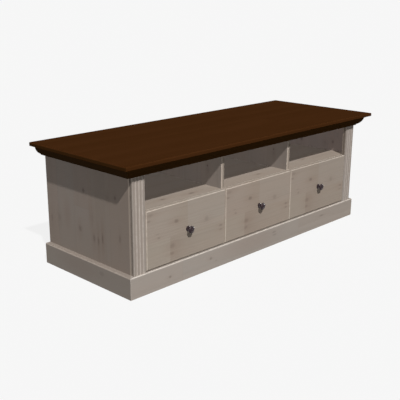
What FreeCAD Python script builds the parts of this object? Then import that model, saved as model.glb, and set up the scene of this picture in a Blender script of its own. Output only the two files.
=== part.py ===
import FreeCAD, Part
import math
import os
from types import SimpleNamespace

import Sketcher

# Lowboard of pale pine: a dark top with a mitred cornice, fluted corner posts, three open
# compartments over three drawers on roller runners, and an applied plinth.
# The origin is on the floor, below the middle of the top. +X is right, +Y is back, +Z is up.

# Driving sizes in millimetres
SIZES = {
    # Carcass
    "carcass_length": 1414,
    "carcass_depth": 516,
    "overall_height": 518,
    "side_thickness": 20,
    "panel_thickness": 18,
    "shelf_height": 322,
    "back_thickness": 5,
    "back_rebate": 10,
    "housing_depth": 6,
    "top_rail_thickness": 18,
    # Top board and cornice
    "top_thickness": 15,
    "top_overhang": 70,
    "top_edge_round": 4,
    "top_under_round": 2,
    "cornice_height": 43,
    "cornice_reach": 50,
    "cornice_foot": 20,
    "cornice_lip": 3,
    "cornice_band": 7,
    "cornice_step": 4,
    "cornice_sweep": 43,
    # Plinth and the boards under the floor panel
    "plinth_height": 86,
    "plinth_thickness": 22.5,
    "plinth_edge_round": 5,
    "rear_rail_thickness": 20,
    "bearer_thickness": 40,
    # Corner posts
    "post_width": 58,
    "post_thickness": 19,
    "post_edge_round": 1.5,
    "flute_radius": 4,
    "flute_sink": 0.8,
    "flute_pitch": 15.5,
    "side_flute_set": 12.5,
    # Cable slots in the back panel
    "slot_length": 90,
    "slot_width": 45,
    "slot_rise": 24,
    # Drawer fronts
    "front_gap": 4,
    "front_foot_gap": 6,
    "front_head_drop": 1,
    "front_bumper_gap": 1,
    "front_edge_round": 4,
    # Drawer boxes
    "box_length": 440,
    "box_height": 150,
    "box_floor_gap": 18,
    "box_side_thickness": 13,
    "box_back_thickness": 13,
    "box_bottom_thickness": 4,
    "box_bottom_rise": 10,
    "box_back_drop": 8,
    "groove_depth": 6,
    "groove_end_gap": 0.5,
    # Knobs
    "knob_base_radius": 11,
    "knob_base_edge": 2,
    "knob_base_height": 4,
    "knob_base_crown": 3,
    "knob_neck_radius": 5,
    "knob_neck_end": 11,
    "knob_neck_sweep": 9,
    "knob_head_radius": 15,
    "knob_head_back": 18,
    "knob_head_rim": 2.5,
    "knob_reach": 27,
    "knob_bore_depth": 15,
    "screw_radius": 2,
    "screw_bore_gap": 0.05,
    "screw_hole_gap": 0.4,
    "screw_head_radius": 4,
    "screw_head_height": 2.6,
    "screw_grip": 12,
    # Roller runners
    "runner_gap": 12.5,
    "rail_gauge": 1.2,
    "rail_setback": 2,
    "track_width": 9,
    "ride_flange": 8.5,
    "ride_rise": 20,
    "ride_headroom": 0.8,
    "roller_headroom": 1,
    "batten_height": 60,
    "riding_roller_radius": 10,
    "fixed_roller_radius": 9,
    "roller_width": 7.4,
    "roller_edge": 0.8,
    "roller_side_gap": 0.4,
    "roller_end": 16,
    "running_gap": 0.3,
    "axle_radius": 2,
    "axle_gap": 0.06,
    "axle_head_radius": 3.6,
    "axle_head_height": 0.9,
}

FLUTE_COUNT = 3
DRAWER_NAMES = ("left", "centre", "right")
TOLERANCE = 0.001


class Size:
    """A length that carries the formula bound to the sheet and its present number."""

    def __init__(self, formula, number):
        self.formula = formula
        self.number = number

    def joined(self, sign, other, number):
        return Size(f"({self.formula} {sign} {other.formula})", number)

    def __add__(self, other):
        other = as_size(other)
        return self.joined("+", other, self.number + other.number)

    def __sub__(self, other):
        other = as_size(other)
        return self.joined("-", other, self.number - other.number)

    def __mul__(self, other):
        other = as_size(other)
        return self.joined("*", other, self.number * other.number)

    def __truediv__(self, other):
        other = as_size(other)
        return self.joined("/", other, self.number / other.number)

    def __neg__(self):
        return self * -1


def as_size(value):
    if isinstance(value, Size):
        return value
    return Size(str(value), float(value))


def bind(item, path, size):
    item.setExpression(path, as_size(size).formula)


# Document and its sheet of sizes
doc = FreeCAD.newDocument("Lowboard")
sheet = doc.addObject("Spreadsheet::Sheet", "Sizes")
for row, (alias, number) in enumerate(SIZES.items(), start=1):
    sheet.set(f"A{row}", alias)
    sheet.set(f"B{row}", str(number))
    sheet.setAlias(f"B{row}", alias)
doc.recompute()
dim = SimpleNamespace(**{alias: Size(f"Sizes.{alias}", float(sheet.get(alias))) for alias in SIZES})
zero = as_size(0)
sub_parts = []


# Shared ways of making a piece

def keep(item, label):
    """Takes an object as a finished sub-part under its own label."""
    item.Label = label
    sub_parts.append(item)
    return item


def place(item, x, y, z):
    for axis, size in zip("xyz", (x, y, z)):
        bind(item, f"Placement.Base.{axis}", size)


def board(name, low, high):
    """A plain board between two opposite corners."""
    box = doc.addObject("Part::Box", name)
    for edge, start, end in zip(("Length", "Width", "Height"), low, high):
        bind(box, edge, end - start)
    place(box, *low)
    return box


def rod(name, radius, length, x, y, z):
    """A round bar along +X that starts at the given point."""
    bar = doc.addObject("Part::Cylinder", name)
    bar.Placement = FreeCAD.Placement(FreeCAD.Vector(), FreeCAD.Rotation(FreeCAD.Vector(0, 1, 0), 90))
    bind(bar, "Radius", radius)
    bind(bar, "Height", length)
    place(bar, x, y, z)
    return bar


def cut(name, base, tool):
    result = doc.addObject("Part::Cut", name)
    result.Base = base
    result.Tool = tool
    return result


def fuse(name, items):
    result = doc.addObject("Part::MultiFuse", name)
    result.Shapes = items
    return result


def group(name, items):
    result = doc.addObject("Part::Compound", name)
    result.Links = items
    return result


def mirrored(name, source, plane_x=zero):
    """The same piece on the other side of an upright plane across the length."""
    result = doc.addObject("Part::Mirroring", name)
    result.Source = source
    result.Normal = FreeCAD.Vector(1, 0, 0)
    bind(result, "Base.x", plane_x)
    return result


def new_body(name, x, y, z):
    body = doc.addObject("PartDesign::Body", name)
    place(body, x, y, z)
    return body


def new_sketch(body, name, role):
    sketch = body.newObject("Sketcher::SketchObject", f"{body.Name}_{name}")
    plane = next(item for item in body.Origin.OriginFeatures if item.Role == role)
    sketch.AttachmentSupport = (plane, "")
    sketch.MapMode = "FlatFace"
    return sketch


def fix_point(sketch, curve, end, x, y):
    """Sets a sketch point at bound distances from the sketch's origin."""
    for kind, axis_line, size in (("DistanceX", -2, as_size(x)), ("DistanceY", -1, as_size(y))):
        if size.formula == zero.formula:
            sketch.addConstraint(Sketcher.Constraint("PointOnObject", curve, end, axis_line))
            continue
        index = sketch.addConstraint(Sketcher.Constraint(kind, -1, 1, curve, end, size.number))
        bind(sketch, f"Constraints[{index}]", size)


def arc_between(start, end, radius, turn):
    """The shorter arc from start to end: turn is 1 to the left and -1 to the right."""
    chord = end - start
    lift = math.sqrt(radius ** 2 - (chord.Length / 2) ** 2)
    left = FreeCAD.Vector(-chord.y, chord.x, 0).normalize()
    centre = (start + end) / 2 + left * lift * turn
    first, last = (start, end) if turn > 0 else (end, start)
    angles = [math.atan2(point.y - centre.y, point.x - centre.x) for point in (first, last)]
    circle = Part.Circle(centre, FreeCAD.Vector(0, 0, 1), radius)
    return Part.ArcOfCircle(circle, *angles)


def outline(sketch, corners):
    """A closed outline. A corner is x, y and, where an arc leaves it, the arc's radius and turn."""
    points = [FreeCAD.Vector(as_size(x).number, as_size(y).number, 0) for x, y, *arc in corners]
    ends = []
    for index, (x, y, *arc) in enumerate(corners):
        start = points[index]
        end = points[(index + 1) % len(points)]
        if not arc:
            curve = sketch.addGeometry(Part.LineSegment(start, end), False)
            ends.append((curve, 1, 2))
            continue
        radius, turn = arc
        curve = sketch.addGeometry(arc_between(start, end, radius.number, turn), False)
        bound = sketch.addConstraint(Sketcher.Constraint("Radius", curve, radius.number))
        bind(sketch, f"Constraints[{bound}]", radius)
        ends.append((curve, 1, 2) if turn > 0 else (curve, 2, 1))
    for index, (curve, start_end, finish_end) in enumerate(ends):
        following, next_start, next_finish = ends[(index + 1) % len(ends)]
        meeting = Sketcher.Constraint("Coincident", curve, finish_end, following, next_start)
        sketch.addConstraint(meeting)
        fix_point(sketch, curve, start_end, corners[index][0], corners[index][1])


def rectangle(sketch, low, high):
    outline(sketch, [low, (high[0], low[1]), high, (low[0], high[1])])


def circle(sketch, x, y, radius):
    centre = FreeCAD.Vector(as_size(x).number, as_size(y).number, 0)
    curve = sketch.addGeometry(Part.Circle(centre, FreeCAD.Vector(0, 0, 1), radius.number), False)
    bound = sketch.addConstraint(Sketcher.Constraint("Radius", curve, radius.number))
    bind(sketch, f"Constraints[{bound}]", radius)
    fix_point(sketch, curve, 3, x, y)


def pad(body, sketch, length):
    feature = body.newObject("PartDesign::Pad", f"{sketch.Name}_pad")
    feature.Profile = sketch
    bind(feature, "Length", length)
    return feature


def pocket(body, sketch, depth=None):
    """A cut along the sketch's normal, through the whole piece where no depth is given."""
    feature = body.newObject("PartDesign::Pocket", f"{sketch.Name}_cut")
    feature.Profile = sketch
    feature.Reversed = True
    if depth is None:
        feature.Type = "ThroughAll"
    else:
        bind(feature, "Length", depth)
    return feature


def revolve(body, sketch, axis):
    feature = body.newObject("PartDesign::Revolution", f"{sketch.Name}_turned")
    feature.Profile = sketch
    feature.ReferenceAxis = (sketch, [axis])
    return feature


def round_edges(body, feature, radius, wanted):
    """Rounds the edges of a feature whose two end points pass the test together."""
    doc.recompute()
    names = []
    for index, edge in enumerate(feature.Shape.Edges, start=1):
        ends = [vertex.Point for vertex in edge.Vertexes]
        if wanted(ends):
            names.append(f"Edge{index}")
    rounded = body.newObject("PartDesign::Fillet", f"{feature.Name}_round")
    rounded.Base = (feature, names)
    bind(rounded, "Radius", radius)
    return rounded


def all_at(points, axis, size):
    return all(abs(getattr(point, axis) - as_size(size).number) < TOLERANCE for point in points)


# Planes that the pieces share
half_length = dim.carcass_length / 2
top_depth = dim.carcass_depth + dim.top_overhang
back = top_depth / 2
panel_back = back - dim.back_thickness
face = back - dim.carcass_depth
front = face - dim.post_thickness
side_inner = half_length - dim.side_thickness
panel_end = side_inner + dim.housing_depth
top_under = dim.overall_height - dim.top_thickness
cornice_under = top_under - dim.cornice_height
floor_under = dim.plinth_height - dim.panel_thickness
shelf_under = dim.shelf_height - dim.panel_thickness
sub_top_under = top_under - dim.panel_thickness
post_inner = half_length - dim.post_width
drawer_count = len(DRAWER_NAMES)
front_width = (post_inner * 2 - dim.front_gap * (drawer_count + 1)) / drawer_count
drawer_pitch = front_width + dim.front_gap
bay_width = drawer_pitch - dim.panel_thickness
partition_inner = bay_width / 2
partition_outer = partition_inner + dim.panel_thickness


def make_top_board():
    """The dark slab, eased along the three sides that show and flush with the back."""
    half_top = half_length + dim.top_overhang
    body = new_body("top_board", -half_top, -back, top_under)
    sketch = new_sketch(body, "plan", "XY_Plane")
    rectangle(sketch, (zero, zero), (half_top * 2, top_depth))
    slab = pad(body, sketch, dim.top_thickness)
    upper = round_edges(body, slab, dim.top_edge_round, lambda ends: (
        all_at(ends, "z", dim.top_thickness) and not all_at(ends, "y", top_depth)))
    round_edges(body, upper, dim.top_under_round, lambda ends: (
        all_at(ends, "z", zero) and not all_at(ends, "y", top_depth)))
    keep(body, "top_board")


def applied_strips(name, reach, profile, height):
    """A strip with one profile round the front and both sides of the carcass, mitred in front.

    The profile is given as outward distance from the carcass and height above the strip's foot.
    """
    side = new_body(f"{name}_right", half_length, back, height)
    side_profile = new_sketch(side, "profile", "XZ_Plane")
    outline(side_profile, profile)
    side_length = dim.carcass_depth + reach
    pad(side, side_profile, side_length)
    mitre = new_sketch(side, "mitre", "XY_Plane")
    outline(mitre, [(zero, -side_length), (reach, -side_length), (zero, -dim.carcass_depth)])
    pocket(side, mitre)
    keep(side, f"{name}_right")
    keep(mirrored(f"{name}_left", side), f"{name}_left")

    strip_length = dim.carcass_length + reach * 2
    strip = new_body(f"{name}_front", -half_length - reach, face, height)
    strip_profile = new_sketch(strip, "profile", "YZ_Plane")
    flipped = []
    for out, up, *arc in profile:
        turned = [arc[0], -arc[1]] if arc else []
        flipped.append((-out if out is not zero else zero, up, *turned))
    outline(strip_profile, flipped)
    pad(strip, strip_profile, strip_length)
    mitres = new_sketch(strip, "mitres", "XY_Plane")
    outline(mitres, [(zero, -reach), (zero, zero), (reach, zero)])
    far_end = strip_length - reach
    outline(mitres, [(strip_length, -reach), (strip_length, zero), (far_end, zero)])
    pocket(strip, mitres)
    keep(strip, f"{name}_front")


def make_cornice():
    """A dark moulding under the top: a lip on the posts, a full convex sweep and a square band."""
    sweep_end = dim.cornice_reach - dim.cornice_step
    band_foot = dim.cornice_height - dim.cornice_band
    applied_strips("cornice", dim.cornice_reach, [
        (zero, zero),
        (dim.cornice_foot, zero),
        (dim.cornice_foot, dim.cornice_lip, dim.cornice_sweep, 1),
        (sweep_end, band_foot),
        (dim.cornice_reach, band_foot),
        (dim.cornice_reach, dim.cornice_height),
        (zero, dim.cornice_height),
    ], cornice_under)


def make_plinth():
    """Skirting boards with a rounded upper edge, and the plain rail that closes the back."""
    round_foot = dim.plinth_height - dim.plinth_edge_round
    round_end = dim.plinth_thickness - dim.plinth_edge_round
    applied_strips("plinth", dim.plinth_thickness, [
        (zero, zero),
        (dim.plinth_thickness, zero),
        (dim.plinth_thickness, round_foot, dim.plinth_edge_round, 1),
        (round_end, dim.plinth_height),
        (zero, dim.plinth_height),
    ], zero)
    rail_front = panel_back - dim.rear_rail_thickness
    keep(board("plinth_rear", (-side_inner, rail_front, zero), (side_inner, panel_back, floor_under)),
         "plinth_rear")
    bearer_half = dim.bearer_thickness / 2
    bearer_middle = drawer_pitch / 2
    bearer = board("bearer_right", (bearer_middle - bearer_half, face, zero),
                   (bearer_middle + bearer_half, rail_front, floor_under))
    keep(bearer, "bearer_right")
    keep(mirrored("bearer_left", bearer), "bearer_left")


def make_side_panels():
    """Upright ends with a rebate for the back panel and housings for the three level panels."""
    panel = board("side_blank", (side_inner, face, zero), (half_length, back, top_under))
    rebate_side = side_inner + dim.back_rebate
    rebate = board("side_rebate", (side_inner, panel_back, floor_under), (rebate_side, back, top_under))
    panel = cut("side_rebated", panel, rebate)
    levels = {"floor": floor_under, "shelf": shelf_under, "sub_top": sub_top_under}
    for level, under in levels.items():
        housing = board(f"{level}_housing", (side_inner, face, under),
                        (panel_end, panel_back, under + dim.panel_thickness))
        panel = cut(f"side_with_{level}_housing", panel, housing)
    keep(panel, "side_panel_right")
    keep(mirrored("side_panel_left", panel), "side_panel_left")


def make_level_panels():
    """The floor under the drawers, the shelf over them and the panel under the top board."""
    levels = {"floor_panel": floor_under, "shelf": shelf_under, "sub_top": sub_top_under}
    for name, under in levels.items():
        low = (-panel_end, face, under)
        high = (panel_end, panel_back, under + dim.panel_thickness)
        keep(board(name, low, high), name)


def make_top_rail():
    """The rail behind the front cornice, under the front edge of the sub-top."""
    low = (-side_inner, face, cornice_under)
    high = (side_inner, face + dim.top_rail_thickness, sub_top_under)
    keep(board("top_rail", low, high), "top_rail")


def make_uprights():
    """Dividers of the open compartments, notched round the top rail, and partitions of the drawers."""
    blank = board("divider_blank", (partition_inner, face, dim.shelf_height),
                  (partition_outer, panel_back, sub_top_under))
    notch = board("divider_notch", (partition_inner, face, cornice_under),
                  (partition_outer, face + dim.top_rail_thickness, sub_top_under))
    divider = keep(cut("divider_right", blank, notch), "divider_right")
    keep(mirrored("divider_left", divider), "divider_left")
    partition = board("partition_right", (partition_inner, face, dim.plinth_height),
                      (partition_outer, panel_back, shelf_under))
    keep(partition, "partition_right")
    keep(mirrored("partition_left", partition), "partition_left")


def make_corner_posts():
    """Flat posts in front of the side panels: flutes down the front and one down the outer side."""
    post_height = cornice_under - dim.plinth_height
    body = new_body("corner_post_right", post_inner, front, dim.plinth_height)
    plan = new_sketch(body, "plan", "XY_Plane")
    rectangle(plan, (zero, zero), (dim.post_width, dim.post_thickness))
    blank = pad(body, plan, post_height)
    round_edges(body, blank, dim.post_edge_round, lambda ends: (
        all_at(ends, "y", zero) and (all_at(ends, "x", zero) or all_at(ends, "x", dim.post_width))))
    first_flute = (dim.post_width - dim.flute_pitch * (FLUTE_COUNT - 1)) / 2
    flute = new_sketch(body, "flute", "XY_Plane")
    circle(flute, first_flute, -dim.flute_sink, dim.flute_radius)
    first = pocket(body, flute)
    row_of_flutes = body.newObject("PartDesign::LinearPattern", "corner_post_right_flutes")
    row_of_flutes.Originals = [first]
    row_of_flutes.Direction = (flute, ["H_Axis"])
    row_of_flutes.Occurrences = FLUTE_COUNT
    bind(row_of_flutes, "Length", dim.flute_pitch * (FLUTE_COUNT - 1))
    body.Tip = row_of_flutes
    side_flute = new_sketch(body, "side_flute", "XY_Plane")
    circle(side_flute, dim.post_width + dim.flute_sink, dim.side_flute_set, dim.flute_radius)
    pocket(body, side_flute)
    keep(body, "corner_post_right")
    keep(mirrored("corner_post_left", body), "corner_post_left")


def make_back_panel():
    """A thin panel in the rebates, with a round-ended cable slot behind each open compartment."""
    panel_reach = side_inner + dim.back_rebate
    body = new_body("back_panel", -panel_reach, back, floor_under)
    sheet_outline = new_sketch(body, "sheet", "XZ_Plane")
    rectangle(sheet_outline, (zero, zero), (panel_reach * 2, top_under - floor_under))
    pad(body, sheet_outline, dim.back_thickness)
    slots = new_sketch(body, "slots", "XZ_Plane")
    end_radius = dim.slot_width / 2
    half_straight = dim.slot_length / 2 - end_radius
    foot = dim.shelf_height + dim.slot_rise - floor_under
    head = foot + dim.slot_width
    for place_in_row in range(drawer_count):
        middle = panel_reach + drawer_pitch * (place_in_row - (drawer_count - 1) / 2)
        level = foot + end_radius
        left = middle - half_straight
        right = middle + half_straight
        outline(slots, [
            (left, foot),
            (right, foot, end_radius, 1),
            (right + end_radius, level, end_radius, 1),
            (right, head),
            (left, head, end_radius, 1),
            (left - end_radius, level, end_radius, 1),
        ])
    pocket(body, slots)
    keep(body, "back_panel")


def make_runner_battens():
    """Battens that bring the outer runners in line with the partitions, clear of the posts."""
    inner = drawer_pitch + partition_inner
    batten = board("runner_batten_right", (inner, face, dim.plinth_height),
                   (side_inner, panel_back, dim.plinth_height + dim.batten_height))
    keep(batten, "runner_batten_right")
    keep(mirrored("runner_batten_left", batten), "runner_batten_left")


# Levels and lengths of the drawer boxes and their runners
front_back = face - dim.front_bumper_gap
front_thickness = dim.post_thickness - dim.front_bumper_gap
front_foot = dim.plinth_height + dim.front_foot_gap
front_height = dim.shelf_height - dim.front_head_drop - front_foot
knob_height = front_foot + front_height / 2
box_width = bay_width - dim.runner_gap * 2
box_foot = dim.plinth_height + dim.box_floor_gap
box_head = box_foot + dim.box_height
box_back = front_back + dim.box_length
bottom_foot = box_foot + dim.box_bottom_rise
bottom_head = bottom_foot + dim.box_bottom_thickness
ride_under = box_foot + dim.ride_rise
track_level = ride_under - dim.riding_roller_radius * 2 - dim.roller_headroom
channel_head = ride_under + dim.rail_gauge + dim.ride_headroom


def make_drawer_front(drawer, middle):
    """An overlay front with rounded edges, grooved for the bottom and drilled for the knob."""
    name = f"{drawer}_drawer_front"
    body = new_body(name, middle - front_width / 2, front_back, front_foot)
    face_outline = new_sketch(body, "face", "XZ_Plane")
    rectangle(face_outline, (zero, zero), (front_width, front_height))
    blank = pad(body, face_outline, front_thickness)
    round_edges(body, blank, dim.front_edge_round, lambda ends: all_at(ends, "y", -front_thickness))
    groove = new_sketch(body, "groove", "XZ_Plane")
    groove_half = box_width / 2 - dim.box_side_thickness
    groove_start = front_width / 2 - groove_half
    groove_foot = bottom_foot - front_foot
    rectangle(groove, (groove_start, groove_foot),
              (groove_start + groove_half * 2, groove_foot + dim.box_bottom_thickness))
    pocket(body, groove, dim.groove_depth)
    hole = new_sketch(body, "hole", "XZ_Plane")
    circle(hole, front_width / 2, front_height / 2, dim.screw_radius + dim.screw_hole_gap)
    pocket(body, hole)
    keep(body, name)


def make_drawer_box(drawer, middle):
    """Sides and a back of solid pine, and a thin bottom that runs in grooves."""
    outer = middle + box_width / 2
    inner = outer - dim.box_side_thickness
    blank = board(f"{drawer}_side_blank", (inner, front_back, box_foot), (outer, box_back, box_head))
    groove = board(f"{drawer}_side_groove", (inner, front_back, bottom_foot),
                   (inner + dim.groove_depth, box_back, bottom_head))
    right = keep(cut(f"{drawer}_drawer_side_right", blank, groove), f"{drawer}_drawer_side_right")
    left_name = f"{drawer}_drawer_side_left"
    keep(mirrored(left_name, right, middle), left_name)

    inner_half = box_width / 2 - dim.box_side_thickness
    rear_face = box_back - dim.box_back_thickness
    rear = board(f"{drawer}_drawer_back", (middle - inner_half, rear_face, bottom_head),
                 (middle + inner_half, box_back, box_head - dim.box_back_drop))
    keep(rear, f"{drawer}_drawer_back")
    bottom_half = inner_half + dim.groove_depth - dim.groove_end_gap
    tongue_half = inner_half - dim.groove_end_gap
    bottom = new_body(f"{drawer}_drawer_bottom", middle, front_back, bottom_foot)
    plan = new_sketch(bottom, "plan", "XY_Plane")
    tongue = dim.groove_end_gap - dim.groove_depth
    outline(plan, [
        (-bottom_half, zero),
        (-tongue_half, zero),
        (-tongue_half, tongue),
        (tongue_half, tongue),
        (tongue_half, zero),
        (bottom_half, zero),
        (bottom_half, dim.box_length),
        (-bottom_half, dim.box_length),
    ])
    pad(bottom, plan, dim.box_bottom_thickness)
    keep(bottom, f"{drawer}_drawer_bottom")


def make_knob(drawer, middle):
    """A turned metal knob on a round rose, and the screw that holds it from inside the drawer."""
    body = new_body(f"{drawer}_knob", middle, front, knob_height)
    profile = new_sketch(body, "profile", "XY_Plane")
    bore = dim.screw_radius + dim.screw_bore_gap
    rim_end = dim.knob_head_back + dim.knob_head_rim
    dome_rise = dim.knob_reach - rim_end
    dome_radius = (dim.knob_head_radius * dim.knob_head_radius + dome_rise * dome_rise) / dome_rise / 2
    outline(profile, [
        (bore, zero),
        (bore, -dim.knob_bore_depth),
        (zero, -dim.knob_bore_depth),
        (zero, -dim.knob_reach, dome_radius, 1),
        (dim.knob_head_radius, -rim_end),
        (dim.knob_head_radius, -dim.knob_head_back, dim.knob_neck_sweep, -1),
        (dim.knob_neck_radius, -dim.knob_neck_end),
        (dim.knob_neck_radius, -dim.knob_base_height),
        (dim.knob_base_radius - dim.knob_base_crown, -dim.knob_base_height),
        (dim.knob_base_radius, -dim.knob_base_edge),
        (dim.knob_base_radius, zero),
    ])
    revolve(body, profile, "V_Axis")
    keep(body, f"{drawer}_knob")

    screw = new_body(f"{drawer}_knob_screw", middle, front_back, knob_height)
    shank = new_sketch(screw, "profile", "XY_Plane")
    tip = front_thickness + dim.screw_grip
    outline(shank, [
        (zero, -tip),
        (dim.screw_radius, -tip),
        (dim.screw_radius, zero),
        (dim.screw_head_radius, zero),
        (dim.screw_head_radius, dim.screw_head_height),
        (zero, dim.screw_head_height),
    ])
    revolve(screw, shank, "V_Axis")
    keep(screw, f"{drawer}_knob_screw")


def make_roller(name, radius, x, y, z):
    """A nylon roller on a plain bore, with its two rims broken."""
    body = new_body(name, x, y, z)
    profile = new_sketch(body, "profile", "XY_Plane")
    bore = dim.axle_radius + dim.axle_gap
    outline(profile, [
        (zero, bore),
        (dim.roller_width, bore),
        (dim.roller_width, radius - dim.roller_edge),
        (dim.roller_width - dim.roller_edge, radius),
        (dim.roller_edge, radius),
        (zero, radius - dim.roller_edge),
    ])
    revolve(body, profile, "H_Axis")
    return body


def pair(name, right, middle):
    """A piece and its mirror image across the drawer, kept as one sub-part."""
    left = mirrored(f"{name}_left", right, middle)
    keep(group(f"{name}_pair", [right, left]), name)


def make_fixed_runners(drawer, middle):
    """Channels on the walls of the bay, each with a roller on a stub axle at its front end."""
    wall = middle + partition_inner
    channel_height = channel_head - track_level + dim.rail_gauge * 2
    rail_rear = face + dim.rail_setback + dim.box_length
    name = f"{drawer}_cabinet_rail"
    channel = new_body(name, wall, rail_rear, track_level - dim.rail_gauge)
    section = new_sketch(channel, "section", "XZ_Plane")
    outline(section, [
        (zero, zero),
        (zero, channel_height),
        (-dim.track_width, channel_height),
        (-dim.track_width, channel_height - dim.rail_gauge),
        (-dim.rail_gauge, channel_height - dim.rail_gauge),
        (-dim.rail_gauge, dim.rail_gauge),
        (-dim.track_width, dim.rail_gauge),
        (-dim.track_width, zero),
    ])
    pad(channel, section, dim.box_length)

    axle_y = face + dim.rail_setback + dim.roller_end
    axle_z = ride_under - dim.running_gap - dim.fixed_roller_radius
    roller_end = wall - dim.rail_gauge - dim.roller_side_gap
    roller_start = roller_end - dim.roller_width
    head_start = roller_start - dim.roller_side_gap - dim.axle_head_height
    axle = rod(f"{name}_axle", dim.axle_radius, wall - head_start, head_start, axle_y, axle_z)
    head = rod(f"{name}_axle_head", dim.axle_head_radius, dim.axle_head_height, head_start, axle_y, axle_z)
    pair(f"{drawer}_cabinet_rails", fuse(f"{name}_with_axle", [channel, axle, head]), middle)
    roller = make_roller(f"{drawer}_fixed_roller", dim.fixed_roller_radius, roller_start, axle_y, axle_z)
    pair(f"{drawer}_fixed_rollers", roller, middle)


def make_riding_runners(drawer, middle):
    """Rails under the drawer sides that ride on the fixed rollers, each with a roller at its rear end."""
    side_face = middle + box_width / 2
    rail_height = dim.ride_rise + dim.rail_gauge * 2
    name = f"{drawer}_drawer_rail"
    rail = new_body(name, side_face, box_back, box_foot - dim.rail_gauge)
    section = new_sketch(rail, "section", "XZ_Plane")
    ride_end = dim.rail_gauge + dim.ride_flange
    outline(section, [
        (-dim.box_side_thickness, zero),
        (dim.rail_gauge, zero),
        (dim.rail_gauge, rail_height - dim.rail_gauge),
        (ride_end, rail_height - dim.rail_gauge),
        (ride_end, rail_height),
        (zero, rail_height),
        (zero, dim.rail_gauge),
        (-dim.box_side_thickness, dim.rail_gauge),
    ])
    pad(rail, section, dim.box_length)

    axle_y = box_back - dim.roller_end
    axle_z = track_level + dim.running_gap + dim.riding_roller_radius
    roller_start = side_face + dim.rail_gauge + dim.roller_side_gap
    head_start = roller_start + dim.roller_width + dim.roller_side_gap
    axle_length = head_start + dim.axle_head_height - side_face
    axle = rod(f"{name}_axle", dim.axle_radius, axle_length, side_face, axle_y, axle_z)
    head = rod(f"{name}_axle_head", dim.axle_head_radius, dim.axle_head_height, head_start, axle_y, axle_z)
    pair(f"{drawer}_drawer_rails", fuse(f"{name}_with_axle", [rail, axle, head]), middle)
    roller = make_roller(f"{drawer}_riding_roller", dim.riding_roller_radius, roller_start, axle_y, axle_z)
    pair(f"{drawer}_riding_rollers", roller, middle)


# Carcass, from the top down
make_top_board()
make_cornice()
make_side_panels()
make_level_panels()
make_top_rail()
make_uprights()
make_corner_posts()
make_back_panel()
make_plinth()
make_runner_battens()

# Drawers, from left to right
for index, drawer in enumerate(DRAWER_NAMES):
    middle = drawer_pitch * (index - (drawer_count - 1) / 2)
    make_drawer_front(drawer, middle)
    make_drawer_box(drawer, middle)
    make_knob(drawer, middle)
    make_fixed_runners(drawer, middle)
    make_riding_runners(drawer, middle)

# Build, test and write every sub-part
doc.recompute()
failed = [item.Label for item in doc.Objects if {"Invalid", "Error"} & set(item.State)]
failed += [item.Label for item in sub_parts if item.Shape.isNull() or not item.Shape.isValid()]
if failed:
    raise RuntimeError("pieces that did not build: " + ", ".join(failed))
os.makedirs("parts", exist_ok=True)
for item in sub_parts:
    item.Shape.exportStep(os.path.join("parts", f"{item.Label}.step"))
print(len(sub_parts), "sub-parts,", sum(len(item.Shape.Solids) for item in sub_parts), "solids")
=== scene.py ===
# %% [markdown]
# A low pine tv stand in the country style. The carcass, posts and drawer fronts are knotty pine under
# a grey-white wash, and the top with its cornice is stained dark brown. The shapes come from the
# imported CAD model, which is loaded as a fixed frame, with each board a mesh of its own. If they were
# modelled again here, the sizes could drift apart, so this script only gives every board a finish and
# adds the small fasteners.

# %% Load the frame
import math

import bmesh
import bpy
from mathutils import Matrix, Vector


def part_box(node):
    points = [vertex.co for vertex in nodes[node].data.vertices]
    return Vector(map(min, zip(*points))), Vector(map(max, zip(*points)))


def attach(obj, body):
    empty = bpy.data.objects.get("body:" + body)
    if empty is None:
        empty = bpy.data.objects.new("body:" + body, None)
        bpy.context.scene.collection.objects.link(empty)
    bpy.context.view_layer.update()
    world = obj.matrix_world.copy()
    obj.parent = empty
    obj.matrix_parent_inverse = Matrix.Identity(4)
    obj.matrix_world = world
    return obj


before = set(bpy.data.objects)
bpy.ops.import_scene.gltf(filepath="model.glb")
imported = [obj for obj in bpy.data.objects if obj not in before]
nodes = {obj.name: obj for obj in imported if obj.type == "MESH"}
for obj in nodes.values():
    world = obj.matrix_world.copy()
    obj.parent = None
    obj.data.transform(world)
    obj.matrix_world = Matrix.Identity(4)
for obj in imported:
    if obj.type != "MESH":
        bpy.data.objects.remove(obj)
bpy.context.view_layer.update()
DRAWERS = ("left", "centre", "right")

# %% [markdown]
# The camera comes first, because every later choice is judged through it. A perspective picture of a
# box has three vanishing points, and they give the viewing angle and the lens. The object stands a
# little left of the picture's centre, so the lens is shifted sideways: a turned camera would change
# the perspective instead.

# %% Camera
CAMERA_PLACE = (-2.2416, -2.0535, 1.0883)
CAMERA_LOOKS = (0.6774, 0.6774, -0.2868)
FOCAL_LENGTH = 63.05
SENSOR_WIDTH = 36.0
SIDEWAYS_SHIFT = 0.0295

lens = bpy.data.cameras.new("camera")
lens.lens = FOCAL_LENGTH
lens.sensor_width = SENSOR_WIDTH
lens.shift_x = SIDEWAYS_SHIFT
camera = bpy.data.objects.new("camera", lens)
camera.location = CAMERA_PLACE
camera.rotation_euler = Vector(CAMERA_LOOKS).to_track_quat("-Z", "Y").to_euler()
bpy.context.scene.collection.objects.link(camera)
bpy.context.scene.camera = camera
print("camera angles", [round(math.degrees(angle), 2) for angle in camera.rotation_euler])

# %% [markdown]
# Shader trees are long when each node takes five lines. This small bench adds a node, sets its plain
# values and joins sockets in one call, so that a finish reads like a recipe: a number is written on
# the socket, and another node's output is linked to it. The same tree could be drawn by hand in the
# shader editor, but a script builds it the same way for every board.

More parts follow.
